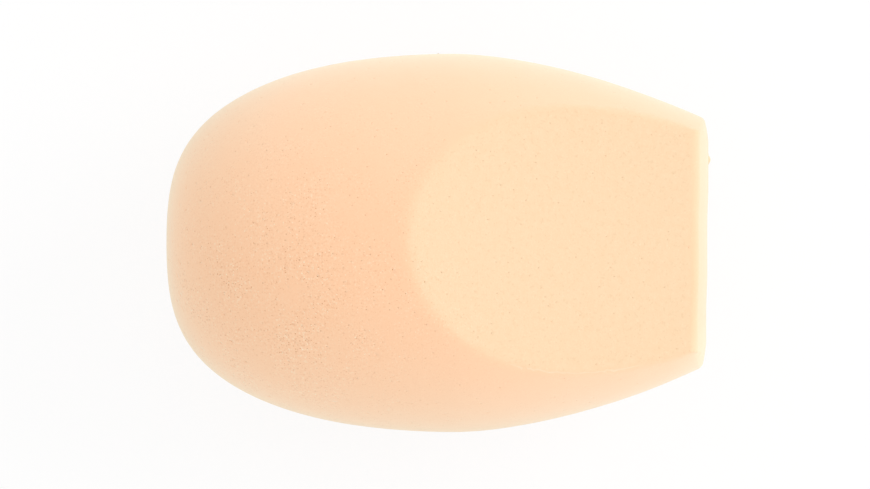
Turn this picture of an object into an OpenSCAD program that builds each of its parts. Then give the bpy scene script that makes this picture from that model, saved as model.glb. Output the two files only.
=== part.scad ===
// Makeup sponge: one moulded block of soft foam, shaped like a blunt egg, with a
// flat end and a slanted flat facet cut into one flank for pressing make-up on.
// It lies as it is laid down on a table with the facet up: the long axis runs
// along X, the dome points to -X, the flat end to +X, and Z = 0 is the table.
// All sizes are in millimetres.

/* [Overall size] */
// Length from the tip of the dome to the flat end
sponge_length = 60; // [52:1:75]
// Diameter at the widest place
body_diameter = 42; // [36:1:50]
// Diameter of the flat end, measured to its sharp corner before rounding
end_diameter = 27.2; // [20:0.2:32]

/* [Dome and taper] */
// Distance of the widest place from the tip of the dome
dome_length = 31.8; // [26:0.2:38]
// Fullness of the flank of the dome: 2 is an ellipse, more keeps it wide for longer
flank_power = 2.13; // [1.9:0.01:3]
// Bluntness of the tip of the dome: 2 is an ellipse, more is flatter
tip_power = 3; // [2:0.1:3.5]
// Bow of the taper towards the flat end: 1 is a straight cone, 2 is a parabola
taper_power = 1.75; // [1.4:0.01:2.2]

/* [Edges of the flat end] */
// Every edge of the flat end turns tightly first, and then in a long, gentle crown.
// Radius of the gentle crown between the rim's tight rounding and the flat
end_crown = 16.5; // [10:0.5:24]
// Tight rounding round the rim of the flat end
rim_round = 0.9; // [0.4:0.1:1.5]
// Angle to which the rim's tight rounding turns, from square to the axis
rim_turn = 77.5; // [65:0.5:85]
// Radius of the gentle crown below the edge between the facet and the flat end
facet_crown = 24; // [10:0.5:30]
// Tight rounding of the edge between the facet and the flat end
facet_round = 1.4; // [0.8:0.1:3]
// Angle to which that edge's tight rounding turns, from square to the axis
facet_turn = 71.5; // [55:0.5:80]

/* [Slanted facet] */
// Angle between the facet and the long axis, from end to end
facet_angle = 22.4; // [18:0.2:30]
// Height of the facet above the long axis where its line meets the flat end
facet_end_height = 7.3; // [3:0.1:9]
// Length of the facet along the axis, over which it is gently hollowed
facet_length = 34; // [24:1:40]
// Depth of the hollow at the middle of the facet
facet_hollow = 1.1; // [0:0.05:2]

/* [Resting flat] */
// Depth to which the soft flank is pressed flat where the sponge lies
rest_depth = 0.5; // [0.3:0.1:1]

/* [Hidden] */
$fn = 144;

// Steps along each part of the outline
dome_steps = 36;
taper_steps = 18;
round_steps = 8;
crown_steps = 5;
facet_steps = 14;

body_radius = body_diameter / 2;
end_radius = end_diameter / 2;
taper_length = sponge_length - dome_length;
// The long axis lies this high above the table
axis_height = body_radius - rest_depth;
// The widest place, along X from the middle of the sponge
widest_x = dome_length - sponge_length / 2;
// How far every cut runs past the foam
overrun = body_radius / 4;

// Angles of the flank and of the hollowed facet to the axis where they meet the flat end
end_slope_angle = atan(taper_power * (body_radius - end_radius) / taper_length);
facet_end_angle = atan(tan(facet_angle) - 4 * facet_hollow / facet_length);

// Where an edge's tight rounding leaves the flank or facet, back from the flat end
function edge_start_back(tight, turn, slope, crown) =
    crown - (crown - tight) * sin(turn) - tight * sin(slope);

// An edge of the flat end as [distance past the flat end, distance from the axis], from
// a flank or facet that slopes at an angle and whose line meets the flat end at a height:
// the tight rounding up to an angle, and then the crown, which ends on the flat
function end_edge(meets_at, slope, tight, turn, crown) =
    let (back = edge_start_back(tight, turn, slope, crown),
         tight_centre = [-back - tight * sin(slope),
                         meets_at + back * tan(slope) - tight * cos(slope)],
         crown_centre = tight_centre - (crown - tight) * [sin(turn), cos(turn)])
    concat(
        [for (i = [0 : round_steps])
            let (angle = slope + (turn - slope) * i / round_steps)
            tight_centre + tight * [sin(angle), cos(angle)]],
        [for (i = [1 : crown_steps])
            let (angle = turn + (90 - turn) * i / crown_steps)
            crown_centre + crown * [sin(angle), cos(angle)]]);

// Radius of the flank at a distance along the taper from the widest place
function taper_radius(along) =
    body_radius - (body_radius - end_radius) * pow(along / taper_length, taper_power);

// Height of the facet above the long axis at a distance back from the flat end:
// a slanted line with a shallow hollow, deepest halfway along the facet
function facet_height(back) = facet_end_height + back * tan(facet_angle)
    - 4 * facet_hollow * back / facet_length * (1 - back / facet_length);

// Half outline of the body as [radius, distance along the axis from the widest place]:
// a dome whose two powers make it blunter than an ellipse, a bowed taper and a soft rim
function half_outline() =
    let (rim_start = taper_length
             - edge_start_back(rim_round, rim_turn, end_slope_angle, end_crown))
    concat(
        [for (i = [0 : dome_steps])
            let (turn = 90 * i / dome_steps)
            [body_radius * pow(sin(turn), 2 / tip_power),
             -dome_length * pow(cos(turn), 2 / flank_power)]],
        [for (i = [1 : taper_steps - 1])
            let (along = rim_start * i / taper_steps)
            [taper_radius(along), along]],
        [for (p = end_edge(end_radius, end_slope_angle, rim_round, rim_turn, end_crown))
            [p[1], taper_length + p[0]]],
        [[0, taper_length]]);

// The foam as it leaves the round mould, along X
module moulded_block() {
    translate([widest_x, 0, axis_height])
        rotate([0, 90, 0])
            rotate_extrude()
                polygon(half_outline());
}

// Side view of what the slanted cut takes off, in X and height above the axis.
// Its lower edge follows the facet, turns round the edge and leaves at the flat end.
module facet_cut_outline() {
    end_x = sponge_length / 2;
    edge_back = edge_start_back(facet_round, facet_turn, facet_end_angle, facet_crown);
    far_back = facet_length * 1.15;
    facet = [for (i = [0 : facet_steps - 1])
        let (back = far_back + (edge_back - far_back) * i / facet_steps)
        [end_x - back, facet_height(back)]];
    edge = [for (p = end_edge(facet_end_height, facet_end_angle, facet_round, facet_turn,
                              facet_crown))
        [end_x + p[0], p[1]]];
    top = facet_height(far_back) + overrun;
    polygon(concat(
        [[facet[0][0], top]],
        facet,
        edge,
        [[end_x + overrun, edge[len(edge) - 1][1]], [end_x + overrun, top]]));
}

// The slanted cut, right across the sponge
module facet_cut() {
    translate([0, 0, axis_height])
        rotate([90, 0, 0])
            linear_extrude(height = body_diameter + 2 * overrun, center = true)
                facet_cut_outline();
}

// Everything below the table, where the foam's own weight presses it flat
module below_table() {
    translate([-sponge_length / 2 - overrun, -body_radius - overrun, -overrun])
        cube([sponge_length + 2 * overrun, body_diameter + 2 * overrun, overrun]);
}

// The whole sponge is one piece of foam
module sponge_body() {
    color([0.98, 0.82, 0.67])
        difference() {
            moulded_block();
            facet_cut();
            below_table();
        }
}

sponge_body();
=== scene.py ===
# %% [markdown]
# # A makeup sponge
# The object is one block of soft, fine-celled foam: a blunt egg with a flat end, and a
# slanted flat facet cut into one flank. It lies on a table with the facet up, and the
# camera looks down on it. There is only one piece, so all the work goes into its skin:
# the true outline, the soft rim of the cut, the pinholes of the foam and its soft,
# powdery finish.

# %% Load the frame and keep the box of the CAD model
import bisect
import math
import random

import bmesh
import bpy
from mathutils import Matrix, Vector, kdtree, noise


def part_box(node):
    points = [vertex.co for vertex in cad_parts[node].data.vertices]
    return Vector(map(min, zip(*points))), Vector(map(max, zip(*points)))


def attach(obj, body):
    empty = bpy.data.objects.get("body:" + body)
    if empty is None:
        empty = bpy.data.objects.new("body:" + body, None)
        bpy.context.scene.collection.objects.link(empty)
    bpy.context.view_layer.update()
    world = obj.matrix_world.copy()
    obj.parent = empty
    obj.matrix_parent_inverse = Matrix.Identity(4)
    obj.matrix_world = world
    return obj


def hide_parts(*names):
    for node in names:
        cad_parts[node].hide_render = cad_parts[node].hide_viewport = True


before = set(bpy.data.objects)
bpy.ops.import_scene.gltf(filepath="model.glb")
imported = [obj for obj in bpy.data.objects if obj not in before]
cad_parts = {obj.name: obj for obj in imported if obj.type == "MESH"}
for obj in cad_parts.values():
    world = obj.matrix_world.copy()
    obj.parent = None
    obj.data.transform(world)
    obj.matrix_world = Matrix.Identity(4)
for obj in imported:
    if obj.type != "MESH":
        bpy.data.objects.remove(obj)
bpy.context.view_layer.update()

# %% [markdown]
# ## Sizes
# The foam is the same solid as in the frame, so its length and width are read from the
# node's box. What the box can't give, such as the length of the dome or the angle of the
# cut, is named here or where it is first needed, with the values of the CAD model.

# %% Driving sizes, in metres
MM = 0.001
foam_low, foam_high = (Vector(corner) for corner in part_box("sponge_body"))
sponge_length = foam_high.x - foam_low.x
body_radius = (foam_high.y - foam_low.y) / 2
rest_depth = 0.5 * MM
axis_height = body_radius - rest_depth
dome_length = 31.8 * MM
taper_length = sponge_length - dome_length
widest_x = foam_low.x + dome_length
end_radius = 13.6 * MM
print(f"sponge {sponge_length / MM:.1f} mm long, axis {axis_height / MM:.1f} mm up")

# %% [markdown]
# ## The edges of the flat end
# All edges of the flat end have the same character: the foam turns tightly for most of
# the way and then runs out in a long, gentle crown. One helper gives the places along
# such an edge in a side view. It serves the rim of the outline as well as the edge
# between the slanted cut and the flat end.

# %% Places along an edge of the flat end
def arm(angle):
    """Unit step in a side view, turned by an angle from square to the axis towards +X."""
    return Vector((math.sin(angle), math.cos(angle)))


def end_edge(meets_at, slope, tight, turn, crown, tight_steps, crown_steps):
    """Pairs of a place (x, distance from the axis) and the way the foam faces there.

    The edge comes from a flank with a slope whose line meets the flat end at a height.
    """
    back = crown - (crown - tight) * math.sin(turn) - tight * math.sin(slope)
    start = Vector((foam_high.x - back, meets_at + back * math.tan(slope)))
    tight_centre = start - tight * arm(slope)
    crown_centre = tight_centre - (crown - tight) * arm(turn)
    angles = [slope + (turn - slope) * i / tight_steps for i in range(tight_steps)]
    edge = [(tight_centre + tight * arm(angle), angle) for angle in angles]
    angles = [turn + (math.pi / 2 - turn) * i / crown_steps for i in range(crown_steps + 1)]
    return edge + [(crown_centre + crown * arm(angle), angle) for angle in angles]


# %% [markdown]
# ## The outline
# Half of the outline, from the tip of the dome to the middle of the flat end, is a
# curve of three stretches: a dome that is blunter than an ellipse, a bowed taper and the
# soft rim. The rim is rounded more widely next to the facet than at the sides, so there
# are two outlines, point by point alike, and a place between them is a blend of both. A
# dense row of points and their distances along the curve let any later step ask for the
# place at a given share of the way. The tight rounding counts for more than its length,
# so that more of the grid's lines fall on it.

# %% Points of the outline, as (x, radius)
FLANK_POWER, TIP_POWER, TAPER_POWER = 2.13, 3.0, 1.75
DOME_STEPS, TAPER_STEPS, ROUND_STEPS, CROWN_STEPS = 160, 80, 16, 12
end_slope_angle = math.atan(TAPER_POWER * (body_radius - end_radius) / taper_length)


def half_outline(rim_round, rim_turn, rim_crown):
    """Points of the outline with a given rounding of its rim."""
    rim = end_edge(end_radius, end_slope_angle, rim_round, rim_turn, rim_crown,
                   ROUND_STEPS, CROWN_STEPS)
    points = []
    for i in range(DOME_STEPS + 1):
        turn = math.pi / 2 * i / DOME_STEPS
        points.append((widest_x - dome_length * max(math.cos(turn), 0) ** (2 / FLANK_POWER),
                       body_radius * math.sin(turn) ** (2 / TIP_POWER)))
    for i in range(1, TAPER_STEPS):
        along = (rim[0][0].x - widest_x) * i / TAPER_STEPS
        drop = (body_radius - end_radius) * (along / taper_length) ** TAPER_POWER
        points.append((widest_x + along, body_radius - drop))
    return points + [tuple(place) for place, _ in rim] + [(foam_high.x, 0.0)]


# Tight rounding of the rim, the angle to which it turns, and the crown beyond it
SIDE_RIM = (0.9 * MM, math.radians(77.5), 16.5 * MM)
FACET_RIM = (1.3 * MM, math.radians(73), 20 * MM)

outline = half_outline(*SIDE_RIM)
facet_outline = half_outline(*FACET_RIM)

# %% Distances along the outline
RIM_CROWDING = 2.5

rim_first = DOME_STEPS + TAPER_STEPS
way = [0.0]
for i, ((x0, r0), (x1, r1)) in enumerate(zip(outline, outline[1:])):
    on_rim = rim_first <= i < rim_first + ROUND_STEPS
    way.append(way[-1] + math.hypot(x1 - x0, r1 - r0) * (RIM_CROWDING if on_rim else 1))


def place_on_outline(share, to_facet):
    """(x, radius) at a share of the way from the tip to the middle of the flat end.

    The second share blends from the outline at the sides to the one next to the facet.
    """
    target = share * way[-1]
    i = min(max(bisect.bisect_right(way, target) - 1, 0), len(way) - 2)
    part = (target - way[i]) / (way[i + 1] - way[i])
    side, top = (Vector(points[i]).lerp(Vector(points[i + 1]), part)
                 for points in (outline, facet_outline))
    return side.lerp(top, to_facet)


def ease(value, low, high):
    """From 0 at low to 1 at high, with soft ends."""
    share = min(max((value - low) / (high - low), 0.0), 1.0)
    return share * share * (3 - 2 * share)


print(f"outline: {len(outline)} points")

# %% [markdown]
# ## The foam block
# A spin of the outline would crowd its faces into a pole at the tip and leave them wide
# at the waist, and pinholes cut into such faces would change in size. So the block
# starts as a cube cut into a fine grid. The grid is blown up to a ball, whose faces are
# all much alike, and each point of the ball then takes its place on the outline. Every
# point is also shaken a little out of its row, so that pinholes cut later at the grid's
# points don't stand in lines.

# %% A cube, cut into a fine grid and drawn into the form of the block
GRID_CELLS = 84
SHAKE = 0.28  # longest step out of the row, as a share of a cell
SEED = 11
NEARLY_NOTHING = 1e-6  # stands in for zero where something is divided by it
# How far up a point lies round the axis where one outline starts and ends turning into
# the other, as a share of the radius
FACET_SIDE = (0.05, 0.5)

block = bmesh.new()
bmesh.ops.create_cube(block, size=2.0)
bmesh.ops.subdivide_edges(block, edges=block.edges[:], cuts=GRID_CELLS - 1,
                          use_grid_fill=True)


def on_block(ball_point):
    """Where a point of the unit ball lands on the block of foam."""
    share = math.acos(max(-1.0, min(1.0, -ball_point.x))) / math.pi
    across = max(math.hypot(ball_point.y, ball_point.z), NEARLY_NOTHING)
    x, radius = place_on_outline(share, ease(ball_point.z / across, *FACET_SIDE))
    return Vector((x, radius * ball_point.y / across,
                   axis_height + radius * ball_point.z / across))


dice = random.Random(SEED)
cell = 2.0 / GRID_CELLS
for vert in block.verts:
    shaken = [c + dice.uniform(-SHAKE, SHAKE) * cell for c in vert.co]
    # The tangent spreads the grid's lines evenly over the ball
    even = Vector(math.tan(c * math.pi / 4) for c in shaken)
    vert.co = on_block(even.normalized())
print(f"block: {len(block.verts)} points, {len(block.faces)} faces")

# %% [markdown]
# ## The unevenness of soft foam
# A moulded block of foam is never as true as a turned one: its flanks swell and sink by
# a few hundredths of a millimetre over a centimetre, and the grain of the cells lifts
# the surface by a few thousandths. Smooth noise moves each point a little way along its
# normal. It comes before the cut, because the blade leaves a true plane.

# %% Swell and grain, along the normals
SWELLS = ((11 * MM, 0.05 * MM), (1.6 * MM, 0.008 * MM))

block.normal_update()
for vert in block.verts:
    lift = sum(height * noise.noise(vert.co / length) for length, height in SWELLS)
    vert.co += vert.normal * lift
print("unevenness:", [f"{height / MM:.3f} mm over {length / MM:.1f} mm"
                      for length, height in SWELLS])

# %% [markdown]
# ## The slanted cut
# On the real sponge a blade takes a slice off one flank and leaves a facet with a very
# shallow hollow, about a millimetre deep halfway. At the flat end the facet's edge is
# rounded, first tightly and then in a long, gentle crown, which is the pale band that
# the camera sees there. Here the same is done with planes. Each plane first cuts the
# faces it crosses, so that the rim is a clean line of edges, and then what stands above
# it is pressed down onto it. Pressing, unlike a boolean, keeps the fine grid on the
# facet, and the pinholes need that grid later.

# %% Sizes of the facet, and the planes that turn round its edge
facet_angle, facet_end_height = math.radians(22.4), 7.3 * MM
facet_length, facet_hollow = 34 * MM, 1.1 * MM
facet_round, facet_turn, facet_crown = 1.4 * MM, math.radians(71.5), 24 * MM
facet_end_angle = math.atan(math.tan(facet_angle) - 4 * facet_hollow / facet_length)
EDGE_ROUND_STEPS, EDGE_CROWN_STEPS = 9, 10

edge_planes = []
for place, angle in end_edge(facet_end_height, facet_end_angle, facet_round, facet_turn,
                             facet_crown, EDGE_ROUND_STEPS, EDGE_CROWN_STEPS)[:-1]:
    facing = Vector((math.sin(angle), 0.0, math.cos(angle)))
    edge_planes.append((Vector((place.x, 0.0, axis_height + place.y)), facing))
print(f"edge: {len(edge_planes)} planes from x {edge_planes[0][0].x / MM:.2f} mm")

# %% Cut along a plane and press down what stands above it
HAIR = 0.001 * MM  # what lies closer than this to a plane is on it
LONGEST_SLIDE = 0.15 * MM
LEAST_ACROSS = 0.2  # a plane that is closer to level with the surface moves no point
EDGE_MARGIN = 0.3 * MM  # how far before the edge its planes start to act

cut_mark = block.verts.layers.int.new("on_cut")
cut_share = block.verts.layers.float.new("cut")
rim_highlight = block.verts.layers.float.new("rim_highlight")
pit_shade_and_dark_crumb = block.verts.layers.float.new("pit_shade_and_dark_crumb")
crowd = block.verts.layers.float.new("crowd")


def slide_onto_plane(vert, point, facing):
    """Move a point that is nearly on the plane onto it, along the foam's surface."""
    height = (vert.co - point).dot(facing)
    across = facing - vert.normal * facing.dot(vert.normal)
    if across.length > LEAST_ACROSS and abs(height) < LONGEST_SLIDE * across.length:
        vert.co -= across * (height / across.length_squared)


def cut_and_press(point, facing, from_x=-math.inf):
    """Cut the block along a plane, from a place along X on, and press down what is above."""
    block.normal_update()
    for vert in block.verts:
        if vert.co.x > from_x and not vert[cut_mark]:
            slide_onto_plane(vert, point, facing)
    crossed = [face for face in block.faces if max(v.co.x for v in face.verts) > from_x]
    # A dictionary keeps their order, so that every run numbers the new points alike
    edges = list(dict.fromkeys(edge for face in crossed for edge in face.edges))
    verts = list(dict.fromkeys(vert for face in crossed for vert in face.verts))
    bmesh.ops.bisect_plane(block, geom=crossed + edges + verts, dist=HAIR,
                           plane_co=point, plane_no=facing)
    for vert in block.verts:
        height = (vert.co - point).dot(facing)
        if vert.co.x > from_x and height > -2 * HAIR:
            vert.co -= facing * height
            vert[cut_mark] = 1


# %% [markdown]
# The hollow of the facet would take a curved blade. The trick is to bend the foam
# instead: every point is lifted by the depth that the hollow has at its place along the
# sponge, one plane cuts the whole facet, and the foam is let down again.

# %% The hollowed facet, and then the edge towards the flat end
def hollow_at(x):
    """Depth of the facet's hollow at a place along the sponge."""
    share = min(max((foam_high.x - x) / facet_length, 0.0), 1.0)
    return 4 * facet_hollow * share * (1 - share)


for vert in block.verts:
    vert.co.z += hollow_at(vert.co.x)
cut_and_press(Vector((foam_high.x, 0.0, axis_height + facet_end_height)),
              Vector((math.sin(facet_angle), 0.0, math.cos(facet_angle))))
for vert in block.verts:
    vert.co.z -= hollow_at(vert.co.x)
edge_start = edge_planes[0][0].x
for point, facing in edge_planes:
    cut_and_press(point, facing, edge_start - EDGE_MARGIN)
print(f"after the cut: {len(block.verts)} points, {len(block.faces)} faces")

# %% [markdown]
# ## The steps in the end
# The flat end was not cut quite square: seen from above, it falls back towards the near
# side in two shallow steps of an eighth of a millimetre. The last stretch of the block
# is sheared by them, easing in over the taper.

# %% Shear the last stretch of the block
END_STEPS = ((4.2 * MM, 0.13 * MM), (-5.5 * MM, 0.13 * MM))  # place across, and height
STEP_HALF = 2.2 * MM  # half the width over which a step rises
STEPS_FROM = foam_high.x - 9 * MM

for vert in block.verts:
    rise = sum(height * (ease(vert.co.y, across - STEP_HALF, across + STEP_HALF) - 0.5)
               for across, height in END_STEPS)
    vert.co.x += rise * ease(vert.co.x, STEPS_FROM, foam_high.x)
print("steps in the end:", [f"{height / MM:.2f} mm" for _, height in END_STEPS])

# %% [markdown]
# ## The flat it rests on
# The sponge weighs a few grams, which is enough to press its round flank flat on the
# table over a patch the size of a fingertip. The same cut and press make that patch. All
# the cuts leave a few slivers where a plane ran close by a point, and one operator takes
# them out.

# %% Press the lowest part flat on the table, and clear the slivers of all cuts
SLIVER = 0.01 * MM

bmesh.ops.bisect_plane(block, geom=block.verts[:] + block.edges[:] + block.faces[:],
                       dist=HAIR, plane_co=(0, 0, 0), plane_no=(0, 0, -1))
for vert in block.verts:
    vert.co.z = max(vert.co.z, 0.0)
bmesh.ops.dissolve_degenerate(block, dist=SLIVER, edges=block.edges[:])
print("resting flat:", sum(vert.co.z == 0.0 for vert in block.verts), "points")

# %% [markdown]
# ## A soft rim, and two tones on one block
# Foam can't hold a knife edge, so the rim of the facet is rounded, most where the facet
# runs out on the dome, and the two corners where it meets the flat end are rounder
# still. The points near them are smoothed in three rings, more often the closer they
# lie. The opened cells of the cut have a tone of their own, a little paler in green and
# blue than the moulded skin and less red, which is painted shade against the stronger
# light on the facet. A point attribute says how much of the cut each place shows, so
# that one tone runs into the other over half a millimetre. Another attribute marks a
# thin painted highlight along the near side of the facet's rim, where its rounding
# catches the light.

# %% Find the rim and smooth the points round it and round the corners
DOME_REACH, END_REACH = 1.4 * MM, 0.5 * MM     # how far from the rim the foam is softened
REACH_SHRINKS = (0.0, 14 * MM)                 # where along X the first turns into the second
CORNER_REACH = 4.0 * MM
CORNER_BACK, CORNER_DOWN = 0.8 * MM, 0.3 * MM  # from where facet and flat end would meet
# Where along X the painted highlight on the near rim starts and ends
RIM_HIGHLIGHT_STARTS, RIM_HIGHLIGHT_ENDS = (4 * MM, 10 * MM), (20 * MM, 26 * MM)  # along X
RINGS = ((1.0, 2), (0.7, 3), (0.4, 3))         # share of the reach, and rounds of smoothing

rim_points = [vert for vert in block.verts
              if vert[cut_mark] and vert.co.x < edge_start
              and any(not other.other_vert(vert)[cut_mark] for other in vert.link_edges)]
rim_tree = kdtree.KDTree(len(rim_points))
for i, vert in enumerate(rim_points):
    rim_tree.insert(vert.co, i)
    # Points of the rim on the near side get a painted highlight
    if vert.co.y < 0:
        vert[rim_highlight] = ease(vert.co.x, *RIM_HIGHLIGHT_STARTS) * (1 - ease(vert.co.x, *RIM_HIGHLIGHT_ENDS))
rim_tree.balance()
corner_height = facet_end_height - CORNER_DOWN
corner_across = math.sqrt(end_radius ** 2 - corner_height ** 2)
corners = [Vector((foam_high.x - CORNER_BACK, side * corner_across, axis_height + corner_height))
           for side in (-1, 1)]

near_rim = []
for vert in block.verts:
    reach = DOME_REACH + (END_REACH - DOME_REACH) * ease(vert.co.x, *REACH_SHRINKS)
    away = min([rim_tree.find(vert.co)[2] / reach]
               + [(vert.co - corner).length / CORNER_REACH for corner in corners])
    if away < 1:
        near_rim.append((away, vert))
for ring, rounds in RINGS:
    soft = [vert for away, vert in near_rim if away < ring]
    for _ in range(rounds):
        bmesh.ops.smooth_vert(block, verts=soft, factor=0.5, use_axis_x=True,
                              use_axis_y=True, use_axis_z=True)
print(f"rim: {len(rim_points)} points, smoothed with {len(near_rim)} round them")

# %% How much of the cut each point shows
RIM_SHARE = 0.2  # how much of the cut the points of the rim show
SPREADS = 2      # rounds in which the tones run into each other

block.normal_update()
for vert in block.verts:
    on_facet = vert[cut_mark] and vert.co.x < edge_start
    vert[cut_share] = 1.0 if on_facet else 0.0
for vert in rim_points:
    vert[cut_share] = RIM_SHARE
for _ in range(SPREADS):
    shares = {vert: sum(edge.other_vert(vert)[cut_share] for edge in vert.link_edges)
              / len(vert.link_edges) for vert in block.verts}
    for vert, share in shares.items():
        vert[cut_share] = (vert[cut_share] + share) / 2
for face in block.faces:
    face.smooth = True
print(f"cut: {sum(vert[cut_share] > 0.5 for vert in block.verts)} points of"
      f" {len(block.verts)}")

# %% [markdown]
# ## Crumbs
# A blade leaves a crumb of foam here and there. Two show in the outline: one on the edge
# of the flat end, and a smaller, darker one on the far flank. The faces round each place
# are divided, and their points are drawn out to a small knob. The faces next to them get
# many corners in a row from this, so each is split into triangles round a middle point.

# %% Draw out the two crumbs
CRUMBS = (
    # where, which way it stands out, how far, and its radius
    (Vector((foam_high.x, 9.2 * MM, axis_height + 0.9 * MM)), Vector((1, 0, 0.25)),
     0.25 * MM, 0.55 * MM),
    (Vector((0.1 * MM, body_radius, axis_height)), Vector((0, 1, 0)),
     0.14 * MM, 0.16 * MM),
)
DIVIDED, LOOKED_AT = 2.2, 6.0  # how far round a crumb, in radii
CUTS = 3                       # in each edge there

crumb_points = []
for place, outwards, height, radius in CRUMBS:
    near = [edge for edge in block.edges
            if min((vert.co - place).length for vert in edge.verts) < DIVIDED * radius]
    bmesh.ops.subdivide_edges(block, edges=near, cuts=CUTS, use_grid_fill=True)
    beside = [face for face in block.faces if len(face.verts) > 4
              and (face.calc_center_median() - place).length < LOOKED_AT * radius]
    bmesh.ops.poke(block, faces=beside)
    drawn = [vert for vert in block.verts if (vert.co - place).length < radius]
    for vert in drawn:
        away = (vert.co - place).length / radius
        vert.co += outwards * height * (1 - away * away)
    crumb_points.append(drawn)
print("crumbs:", [len(drawn) for drawn in crumb_points], "points")

# %% [markdown]
# ## Pinholes
# Fine foam has thousands of pinholes, 0.1 to 0.3 mm wide, where a cell broke open at the
# surface. A bump texture would only shade them. Here the larger ones are real pits: a
# point of the grid is bevelled into a small round patch, and the patch is inset and
# pushed in twice, a little for a soft shoulder and then to its full depth. The chance
# that a point becomes a pinhole follows its share of the surface, so they lie as densely
# where the grid is fine as where it is wide. They crowd on the near side of the dome, away
# from the lamp, where grazing light shows the texture most, and gather in clusters. A
# point attribute tells the material how crowded each place is, and the material paints
# the specks' shade and the strands' highlights strongest there.

# %% How crowded the pinholes are
CROWD_MIDDLE = Vector((-17.5 * MM, -7 * MM))
CROWD_REACH = 14.5 * MM
EVERYWHERE, ADDED_AT_MIDDLE = 0.16, 0.80
CLUSTER_SIZE, CLUSTER_SWING = 3.5 * MM, 0.9
LEAST_CLUSTER = 0.3  # factor where the clusters are thinnest


def crowding(place):
    """How crowded the pinholes are at a place, from nearly none to one and a half."""
    away = (place.xy - CROWD_MIDDLE).length / CROWD_REACH
    clusters = 1 + CLUSTER_SWING * noise.noise(place / CLUSTER_SIZE)
    return ((EVERYWHERE + ADDED_AT_MIDDLE * math.exp(-away * away))
            * max(clusters, LEAST_CLUSTER))


for vert in block.verts:
    vert[crowd] = crowding(vert.co)
print("crowding: {:.2f} to {:.2f}".format(*(pick(vert[crowd] for vert in block.verts)
                                            for pick in (min, max))))

# %% Choose the points for the pinholes
IN_CROWD = 0.45  # from this crowding on, the pinholes are deep
PINHOLES = (
    # radius, depth, per square millimetre where the crowding is 1, and from which crowding
    # to which they are found
    (0.095 * MM, 0.09 * MM, 0.050, (IN_CROWD, math.inf)),
    (0.070 * MM, 0.06 * MM, 0.140, (IN_CROWD, math.inf)),
    (0.060 * MM, 0.028 * MM, 0.140, (0.0, IN_CROWD)),
)
SQUARENESS = 0.78  # least area of a face, as a share of the square of its mean side
ROOM = 1.9         # least length of the edges at a pinhole, in radii

# The far crumb is darkened with the same tone as the painted shade in the pits
for vert in crumb_points[1]:
    vert[pit_shade_and_dark_crumb] = 1.0


def is_square(face):
    """True for a face with four corners that is nearly square."""
    side = face.calc_perimeter() / 4
    return len(face.verts) == 4 and face.calc_area() > SQUARENESS * side * side


def can_hold_pinhole(vert, radius):
    """True where the grid round a point is regular, and far from rims and the table."""
    around = {v for face in vert.link_faces for v in face.verts}
    return (len(vert.link_edges) == 4
            and all(is_square(face) for face in vert.link_faces)
            and len({v[cut_mark] for v in around}) == 1
            and min(edge.calc_length() for edge in vert.link_edges) > ROOM * radius
            and vert.co.z > 0.0)


taken = set()
chosen = [[] for _ in PINHOLES]
points = block.verts[:]
dice.shuffle(points)
for vert in points:
    # A quarter of each face round a point is its own ground, in square millimetres
    ground = sum(face.calc_area() for face in vert.link_faces) / 4 / MM ** 2
    draw = dice.random() / max(ground * vert[crowd], NEARLY_NOTHING)
    for size, (radius, _, density, (least, most)) in enumerate(PINHOLES):
        if not least <= vert[crowd] < most:
            continue
        if draw < density:
            if vert not in taken and can_hold_pinhole(vert, radius):
                chosen[size].append(vert)
                taken.update(v for face in vert.link_faces for v in face.verts)
            break
        draw -= density
print("pinholes by size:", [len(points) for points in chosen])

# %% [markdown]
# The bevel leaves a patch with four long corners. Its rim is drawn onto a circle, but a
# broken cell is never a true one, so each patch is also stretched a little along a way of
# its own, and its points lie a little in and out, before it is pushed in.

# %% Bevel each point into a patch, make it round but uneven, and push it in
WALLS = (
    # how far in each ring of the wall lies from the one before, and its part of the depth
    (0.15, 0.15),  # the soft shoulder
    (0.30, 0.85),  # the sloping wall
)
NEW_RING = 0.005 * MM     # width of a new ring of points, before they get their places
IN_AND_OUT = (0.85, 1.1)  # distance of the rim's points from the middle, in radii
LONGEST_STRETCH = 0.35
MIDDLE = 0.2              # a point nearer than this is the middle of the patch, in radii

for (radius, depth, _, _), points in zip(PINHOLES, chosen):
    centres = kdtree.KDTree(len(points))
    for i, vert in enumerate(points):
        centres.insert(vert.co, i)
    centres.balance()
    outwards = [vert.normal.copy() for vert in points]
    stretches = [(Vector([dice.gauss(0, 1) for _ in range(3)]).normalized(),
                  dice.uniform(0.0, 1.0) ** 2 * LONGEST_STRETCH) for _ in points]
    patches = bmesh.ops.bevel(
        block, geom=points, offset=radius, offset_type="OFFSET", segments=2,
        profile=0.5, affect="VERTICES", clamp_overlap=True, material=-1)["faces"]
    for vert in sorted({v for face in patches for v in face.verts}, key=lambda v: tuple(v.co)):
        centre, i, _ = centres.find(vert.co)
        along, stretch = stretches[i]
        away = vert.co - centre
        if away.length > MIDDLE * radius:
            away = away.normalized() * radius * dice.uniform(*IN_AND_OUT)
            vert.co = centre + away + along * (along.dot(away) * stretch)
    for width, share in WALLS:
        bmesh.ops.inset_region(block, faces=patches, thickness=NEW_RING, depth=0.0,
                               use_boundary=True, use_even_offset=False)
        for vert in {v for face in patches for v in face.verts}:
            centre, i, _ = centres.find(vert.co)
            vert.co = centre.lerp(vert.co, 1 - width) - outwards[i] * depth * share
    # The points of each pit get painted shade
    for face in patches:
        for vert in face.verts:
            vert[pit_shade_and_dark_crumb] = 1.0
print(f"with the larger pinholes: {len(block.faces)} faces")

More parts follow.
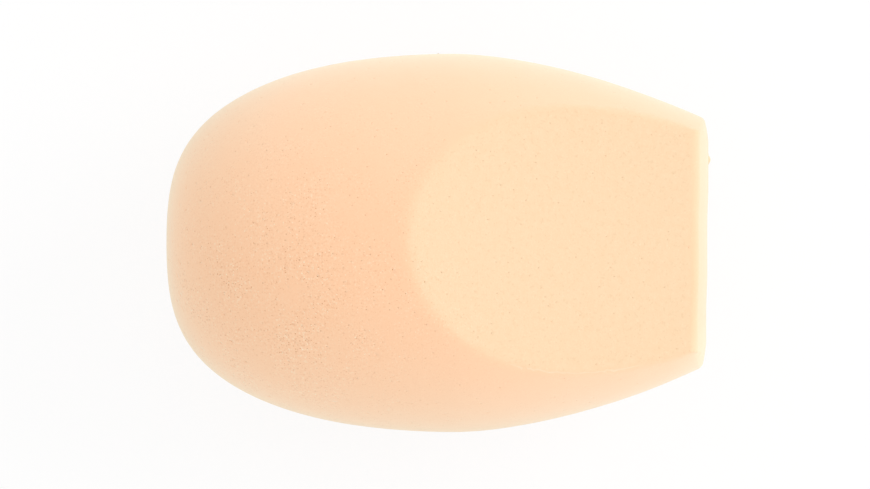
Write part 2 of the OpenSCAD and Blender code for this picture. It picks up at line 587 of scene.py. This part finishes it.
# %% [markdown]
# The smallest pinholes are single faces. A new ring of corners is drawn in to the width
# of the hole, whatever the size of the face, and a second one is pushed in. Between them
# lie dimples, where a cell sank without breaking, pressed in by a hair, so that light
# grazing the foam shows them.

# %% The smallest pinholes and the dimples, one face each
SMALL, DIMPLES = 0.70, 0.45  # per square millimetre where the crowding is 1
LEAST_SIDE = 0.22 * MM
RIM_SWING = (0.75, 1.2)      # distance of a rim's corners from the middle, in radii
# Radius, width of the bottom as a share of it, and depth
SMALL_FORM = (0.085 * MM, 0.6, 0.050 * MM)
DIMPLE_FORM = (0.110 * MM, 0.5, 0.020 * MM)
# How much painted shade the smallest pits get
SMALL_PIT_SHADE = 0.8

small, dimples = [], []
for face in block.faces:
    crowded = sum(vert[crowd] for vert in face.verts) / len(face.verts)
    share = dice.random() / max(face.calc_area() / MM ** 2 * crowded, NEARLY_NOTHING)
    if (share < SMALL + DIMPLES and is_square(face)
            and not any(vert in taken or vert[pit_shade_and_dark_crumb] for vert in face.verts)
            and min(edge.calc_length() for edge in face.edges) > LEAST_SIDE
            and len({vert[cut_mark] for vert in face.verts}) == 1
            and min(vert.co.z for vert in face.verts) > 0.0):
        (small if share < SMALL else dimples).append(face)
        taken.update(face.verts)


def draw_in(faces, drawn, depth):
    """Give each face an inner ring of corners, each drawn to its place and pushed in."""
    bmesh.ops.inset_individual(block, faces=faces, thickness=NEW_RING, depth=0.0,
                               use_even_offset=True)
    for face in faces:
        centre, inwards = face.calc_center_median(), -face.normal
        for vert in face.verts:
            vert.co = centre + drawn(vert.co - centre) + inwards * depth


for faces, (radius, bottom, depth) in ((small, SMALL_FORM), (dimples, DIMPLE_FORM)):
    draw_in(faces, lambda away: away.normalized() * radius * dice.uniform(*RIM_SWING), 0.0)
    draw_in(faces, lambda away: away * bottom, depth)
for face in small:
    for vert in face.verts:
        vert[pit_shade_and_dark_crumb] = SMALL_PIT_SHADE
print(f"small pinholes: {len(small)}, dimples: {len(dimples)}")

# %% [markdown]
# ## The finished mesh
# The bmesh becomes one object that sits at the origin, with its place in its mesh, and
# stands for the CAD solid, which stays in the physics for collision.

# %% Write the mesh and hang it on the frame
sponge_mesh = bpy.data.meshes.new("sponge_foam")
block.to_mesh(sponge_mesh)
block.free()
sponge = bpy.data.objects.new("sponge_foam", sponge_mesh)
bpy.context.scene.collection.objects.link(sponge)
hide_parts("sponge_body")
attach(sponge, "root")
sponge_mesh.calc_loop_triangles()
print(f"sponge: {len(sponge_mesh.loop_triangles)} triangles")

# %% [markdown]
# ## The finish of the foam
# Dry foam is matt and powdery. Three things make it read as foam: a fine grain of cells,
# a colour that drifts a little over a few millimetres, and a soft pale bloom where the
# surface turns away from the eye, which is what sheen is for. The moulded skin and the
# cut share one recipe and differ only in their tone. The tones come first.

# %% Tones, as they look on screen
def tone(red, green, blue):
    """A colour given as 0 to 255 on screen, as the linear values a shader takes."""
    values = []
    for level in (red / 255, green / 255, blue / 255):
        values.append(level / 12.92 if level <= 0.04045
                      else ((level + 0.055) / 1.055) ** 2.4)
    return (*values, 1.0)


# The skin, and a paler tone that stands for painted light as well as a random drift
SKIN_TONE, PAINTED_LIGHT_AND_DRIFT_TONE = tone(255, 203, 162), tone(255, 207, 168)
# Painted highlight on the near corner of the facet, where the rounded end turns to the light
CORNER_HIGHLIGHT_TONE = tone(255, 211, 173)
# The cut's tones are less red than the skin's, painted shade that holds back the stronger light
# on the facet; in green and blue they are a little paler
CUT_TONE_AND_PAINTED_SHADE, CUT_DRIFT = tone(240, 205, 166), tone(240, 207, 169)
CUT_MARK = tone(228, 192, 151)
# Painted highlight along the near rim of the facet
RIM_HIGHLIGHT_TONE = tone(246, 214, 180)
# Painted shade inside the modelled pits, on top of the shade that the light gives them; the far
# crumb takes it too
PIT_SHADE_AND_CRUMB_TONE = tone(238, 193, 152)  # inside a real pit, which the light darkens further
# Painted shade of the specks, and painted highlight of the strands
SPECK_SHADE_TONE = tone(217, 152, 106)
STRAND_HIGHLIGHT_TONE = tone(255, 238, 208)

# %% [markdown]
# A material in Blender is a net of nodes. The first helper feeds a node. The others add
# the few kinds that this material needs, and each gives back the socket with its result,
# so that the recipe further down reads like sums on paper.

# %% Helpers for the nodes of a material
def feed(tree, node, inputs):
    """Feed a node's inputs, each from another node's socket or with a constant."""
    for name, value in inputs.items():
        if isinstance(value, bpy.types.NodeSocket):
            tree.links.new(value, node.inputs[name])
        else:
            node.inputs[name].default_value = value


def maths(tree, operation, *values):
    """Join two or more values by one operation."""
    result = values[0]
    for value in values[1:]:
        node = tree.nodes.new("ShaderNodeMath")
        node.operation = operation
        feed(tree, node, {0: result, 1: value})
        result = node.outputs[0]
    return result


def span(tree, value, low, high, at_low, at_high):
    """Turn a value between low and high into one between two others, and clamp it."""
    node = tree.nodes.new("ShaderNodeMapRange")
    feed(tree, node, {"Value": value, "From Min": low, "From Max": high,
                      "To Min": at_low, "To Max": at_high})
    return node.outputs["Result"]


def mix(tree, factor, first, second):
    """Mix two colours. They are inputs 6 and 7 of the node, and its output 2."""
    node = tree.nodes.new("ShaderNodeMix")
    node.data_type = "RGBA"
    feed(tree, node, {0: factor, 6: first, 7: second})
    return node.outputs[2]


def cloud(tree, place, per_mm, detail):
    """Soft noise round 0.5, with a number of waves in a millimetre."""
    node = tree.nodes.new("ShaderNodeTexNoise")
    feed(tree, node, {"Vector": place, "Scale": per_mm, "Detail": detail})
    return node.outputs["Fac"]


def attribute(tree, name):
    """A value that the mesh carries at its points."""
    node = tree.nodes.new("ShaderNodeAttribute")
    node.attribute_name = name
    return node.outputs["Fac"]


# %% [markdown]
# The skin has painted light towards the far side and the flat end, painted shade along
# the far outline and, palest of all on the skin, a painted highlight at the near corner of
# the facet, and it drifts at random over centimetres. The cut drifts over less than a
# millimetre and has soft darker marks. The painted highlight along the facet's near rim
# is the palest of all.

# %% The drifting tones of the skin and the cut, with painted light, shade and highlights
# Noise: how many waves in a millimetre, and how much detail
SKIN_DRIFTS, CUT_DRIFTS, CUT_MARKS = (0.22, 2.0), (1.5, 2.0), (2.6, 1.0)
# Where along Y or X a tone changes, from and to, in millimetres, and its shares there
# Painted light on the far side and towards the flat end, and painted shade along the far outline
PAINTED_LIGHT_FAR, PAINTED_SHADE_FAR_EDGE, PAINTED_LIGHT_RIGHT = (-2, 10, 0, 0.9), (13, 21, 0, -1.1), (-8, 4, 0, 0.4)
# Where the painted highlight at the near corner of the facet lies
CORNER_HIGHLIGHT_X, CORNER_HIGHLIGHT_Y = (25.5, 28.5, 0, 1), (-11.5, -8.5, 1, 0)
# From and to which value of a sum or a noise a tone changes, and its shares there
PAINTED_LIGHT_AND_DRIFT_SPAN, DRIFTING, MARKING = (0.35, 1.6, 0, 1), (0.35, 0.65, 0, 1), (0.60, 0.72, 0, 0.4)
RIM_HIGHLIGHT_SHOWS = (0.5, 1.0, 0, 1)


def drifting_tone(tree, place):
    """The colour of the foam before its specks and pinholes, with its painted light, shade and
    highlights.
    """
    along = tree.nodes.new("ShaderNodeSeparateXYZ")
    feed(tree, along, {"Vector": place})
    x, y = along.outputs["X"], along.outputs["Y"]
    # Painted light and shade by place, and a random drift of the skin
    painted_light_and_drift = maths(tree, "ADD", span(tree, y, *PAINTED_LIGHT_FAR), span(tree, y, *PAINTED_SHADE_FAR_EDGE),
                     span(tree, x, *PAINTED_LIGHT_RIGHT), cloud(tree, place, *SKIN_DRIFTS))
    skin = mix(tree, span(tree, painted_light_and_drift, *PAINTED_LIGHT_AND_DRIFT_SPAN), SKIN_TONE, PAINTED_LIGHT_AND_DRIFT_TONE)
    # Painted highlight at the near corner of the facet
    corner = maths(tree, "MULTIPLY", span(tree, x, *CORNER_HIGHLIGHT_X), span(tree, y, *CORNER_HIGHLIGHT_Y))
    skin = mix(tree, corner, skin, CORNER_HIGHLIGHT_TONE)
    # The cut, its red lowered as painted shade against the facet's stronger light
    cut = mix(tree, span(tree, cloud(tree, place, *CUT_DRIFTS), *DRIFTING),
              CUT_TONE_AND_PAINTED_SHADE, CUT_DRIFT)
    cut = mix(tree, span(tree, cloud(tree, place, *CUT_MARKS), *MARKING), cut, CUT_MARK)
    skin_and_cut = mix(tree, attribute(tree, "cut"), skin, cut)
    # The painted highlight along the near rim of the facet
    return mix(tree, span(tree, attribute(tree, "rim_highlight"), *RIM_HIGHLIGHT_SHOWS), skin_and_cut, RIM_HIGHLIGHT_TONE)


# %% [markdown]
# Specks are painted shade in cells too small for the mesh that broke open, each as dark
# as chance has it, and fewer on the cut. Other cells get a painted highlight instead, as
# of a strand that catches the light. Both are spots in the middle of the cells of a
# Voronoi texture, whose random colour serves as the draw. A warp of the place makes their
# forms uneven, and a grain of the same two tones lies between them.

# %% Specks of painted shade, strands of painted highlight, and grain
SPECKS_PER_MM, WARPS_PER_MM, GRAIN = 4.0, 2.5, (4.4, 1.0)
WARP = 0.22                        # how far the warp pulls, in millimetres
SPOT = (0.14, 0.40, 1, 0)          # full and gone, so far from a cell's middle, in cells
LEAST_DRAW = (0.62, 0.80)          # the draws above it are specks: on the skin, on the cut
STRAND_DRAWS = (0.0, 0.24, 1, 0)
DARK_GRAIN, LIGHT_GRAIN = (0.28, 0.42, 0.28, 0), (0.58, 0.72, 0, 0.34)


def shade_specks_and_highlights(tree, place):
    """How much of the painted shade and how much of the painted highlight each place shows."""
    warp = tree.nodes.new("ShaderNodeTexNoise")
    feed(tree, warp, {"Vector": place, "Scale": WARPS_PER_MM})
    warped = tree.nodes.new("ShaderNodeVectorMath")
    warped.operation = "MULTIPLY_ADD"
    feed(tree, warped, {0: warp.outputs["Color"], 1: (WARP,) * 3, 2: place})
    cells = tree.nodes.new("ShaderNodeTexVoronoi")
    feed(tree, cells, {"Vector": warped.outputs["Vector"], "Scale": SPECKS_PER_MM})
    chance = tree.nodes.new("ShaderNodeSeparateColor")
    feed(tree, chance, {"Color": cells.outputs["Color"]})
    draw, spot = chance.outputs["Red"], span(tree, cells.outputs["Distance"], *SPOT)
    least_draw = span(tree, attribute(tree, "cut"), 0, 1, *LEAST_DRAW)
    # Specks of painted shade, and strands of painted highlight
    speck_shade = maths(tree, "MULTIPLY", spot, span(tree, draw, least_draw, 1, 0, 1))
    strand_highlight = maths(tree, "MULTIPLY", spot, span(tree, draw, *STRAND_DRAWS))
    grain = cloud(tree, place, *GRAIN)
    return (maths(tree, "MAXIMUM", speck_shade, span(tree, grain, *DARK_GRAIN)),
            maths(tree, "MAXIMUM", strand_highlight, span(tree, grain, *LIGHT_GRAIN)))


# %% [markdown]
# The recipe joins them: the specks' painted shade and the strands' painted highlight are
# strong where the pinholes crowd, the modelled pinholes get painted shade inside, and a
# very fine bump roughens the foam between them. The attributes that it reads were set on
# the points of the mesh above.

# %% The foam's finish
CUT_CROWD = 0.24  # the cut looks as speckled as skin with this crowding
BUMP_HEIGHT, BUMPS, BUMP_STRENGTH = 0.03 * MM, (4.5, 2.0), (0, 1, 0.1, 0.9)


def foam_finish(name):
    """Matt foam: drifting tones with painted light, painted shade in specks and pinholes,
    painted highlights in strands, a fine bump and sheen.
    """
    finish = bpy.data.materials.new(name)
    finish.use_nodes = True
    tree = finish.node_tree
    in_mm = tree.nodes.new("ShaderNodeMapping")
    feed(tree, in_mm, {"Vector": tree.nodes.new("ShaderNodeTexCoord").outputs["Object"],
                       "Scale": (1 / MM,) * 3})
    place = in_mm.outputs["Vector"]

    crowded = maths(tree, "MAXIMUM", attribute(tree, "crowd"),
                    maths(tree, "MULTIPLY", attribute(tree, "cut"), CUT_CROWD))
    dark, light = shade_specks_and_highlights(tree, place)
    # Specks of painted shade and strands of painted highlight, strongest where the pinholes
    # crowd
    colour = mix(tree, maths(tree, "MULTIPLY", dark, crowded),
                 drifting_tone(tree, place), SPECK_SHADE_TONE)
    colour = mix(tree, maths(tree, "MULTIPLY", light, crowded), colour, STRAND_HIGHLIGHT_TONE)
    # Painted shade inside the modelled pinholes, and the far crumb's darker tone
    colour = mix(tree, attribute(tree, "pit_shade_and_dark_crumb"), colour, PIT_SHADE_AND_CRUMB_TONE)
    bump = tree.nodes.new("ShaderNodeBump")
    feed(tree, bump, {"Distance": BUMP_HEIGHT, "Height": cloud(tree, place, *BUMPS),
                      "Strength": span(tree, crowded, *BUMP_STRENGTH)})
    feed(tree, tree.nodes["Principled BSDF"], {
        "Base Color": colour, "Normal": bump.outputs["Normal"],
        "Roughness": 0.9, "Specular IOR Level": 0.05,
        "Sheen Weight": 0.82, "Sheen Roughness": 0.6, "Sheen Tint": (0.85, 0.96, 0.84, 1.0)})
    return finish


foam = foam_finish("peach_foam")
sponge_mesh.materials.append(foam)
print(f"finish: {foam.name}, {len(foam.node_tree.nodes)} nodes")

# %% [markdown]
# ## The table
# The photograph has a pure white ground. More light would bleach the foam, so the table
# is plain white instead and glows only for the rays that look at it from the camera or by
# way of a mirror or glass. A share of its own shading is left, which keeps the sponge's
# faint shadow.

# %% The table
TABLE_HALF = 1.5
GLOW_SHARE = 0.85
WHITE = (1, 1, 1, 1)

bm = bmesh.new()
bmesh.ops.create_grid(bm, x_segments=1, y_segments=1, size=TABLE_HALF)
table_mesh = bpy.data.meshes.new("table")
bm.to_mesh(table_mesh)
bm.free()
table = bpy.data.objects.new("table", table_mesh)
bpy.context.scene.collection.objects.link(table)


def table_finish(name):
    """Plain white, with a glow of its own for the rays that the camera looks along."""
    finish = bpy.data.materials.new(name)
    finish.use_nodes = True
    tree = finish.node_tree
    surface = tree.nodes["Principled BSDF"]
    feed(tree, surface, {"Base Color": (0.96, 0.96, 0.96, 1), "Roughness": 0.9,
                         "Specular IOR Level": 0.0})
    glow = tree.nodes.new("ShaderNodeEmission")
    feed(tree, glow, {"Color": WHITE, "Strength": 1.0})
    rays = tree.nodes.new("ShaderNodeLightPath").outputs
    seen = maths(tree, "MAXIMUM", rays["Is Camera Ray"], rays["Is Glossy Ray"],
                 rays["Is Transmission Ray"])
    blend = tree.nodes.new("ShaderNodeMixShader")
    feed(tree, blend, {0: maths(tree, "MULTIPLY", seen, GLOW_SHARE),
                       1: surface.outputs["BSDF"], 2: glow.outputs["Emission"]})
    feed(tree, tree.nodes["Material Output"], {"Surface": blend.outputs["Shader"]})
    return finish


table_mesh.materials.append(table_finish("white_table"))
print(f"table: {2 * TABLE_HALF} m wide")

# %% [markdown]
# ## The light
# The photograph is a high-key one, with light from all round, so an even white sky does
# most of the work. A broad soft lamp on the right draws the end of the facet, and two
# faint cards lift the near side and the far left.

# %% The sky and the lamps
SKY_STRENGTH = 0.883

world = bpy.data.worlds.new("studio")
world.use_nodes = True
bpy.context.scene.world = world
feed(world.node_tree, world.node_tree.nodes["Background"],
     {"Color": WHITE, "Strength": SKY_STRENGTH})

LAMPS = (
    # name, watts, width, height, place
    ("softbox", 2.3, 0.5, 0.4, (0.65, 0.24, 0.50)),
    ("fill_card", 0.38, 0.5, 0.3, (0.45, -0.6, 0.17)),
    ("far_card", 0.16, 0.5, 0.3, (-0.45, 0.55, 0.28)),
)
middle = Vector((0.0, 0.0, axis_height))
for name, watts, width, height, place in LAMPS:
    lamp_data = bpy.data.lights.new(name, "AREA")
    lamp_data.shape, lamp_data.size, lamp_data.size_y = "RECTANGLE", width, height
    lamp_data.energy = watts
    lamp = bpy.data.objects.new(name, lamp_data)
    bpy.context.scene.collection.objects.link(lamp)
    lamp.location = place
    lamp.rotation_euler = (middle - lamp.location).to_track_quat("-Z", "Y").to_euler()
print("lamps:", [name for name, *_ in LAMPS])

# %% [markdown]
# ## The camera
# The camera looks almost straight down through a long lens. What it sees and where it
# stands follow from the places of the tip, the flat end and the axis in the photograph,
# which are given in its pixels.

# %% The camera
PHOTO_WIDTH, TIP_PX, END_PX, AXIS_PX, MIDDLE_PX = 870, 167.5, 707.3, 242.9, 244.5
metres_per_px = sponge_length / (END_PX - TIP_PX)
camera_away = 0.6
camera_rise = math.radians(88.6)
SENSOR = 36  # millimetres across
NEAREST, FARTHEST = 0.01, 10

aim = Vector((foam_low.x + (PHOTO_WIDTH / 2 - TIP_PX) * metres_per_px,
              (AXIS_PX - MIDDLE_PX) * metres_per_px, axis_height))
back = Vector((0, -math.cos(camera_rise), math.sin(camera_rise)))
camera_data = bpy.data.cameras.new("camera")
camera_data.sensor_width = SENSOR
camera_data.lens = SENSOR * camera_away / (PHOTO_WIDTH * metres_per_px)
camera_data.clip_start, camera_data.clip_end = NEAREST, FARTHEST
camera = bpy.data.objects.new("camera", camera_data)
bpy.context.scene.collection.objects.link(camera)
camera.location = aim + back * camera_away
camera.rotation_euler = (-back).to_track_quat("-Z", "Y").to_euler()
bpy.context.scene.camera = camera
bpy.context.scene.view_settings.view_transform = "Standard"
print(f"lens {camera_data.lens:.0f} mm at {camera_away} m")
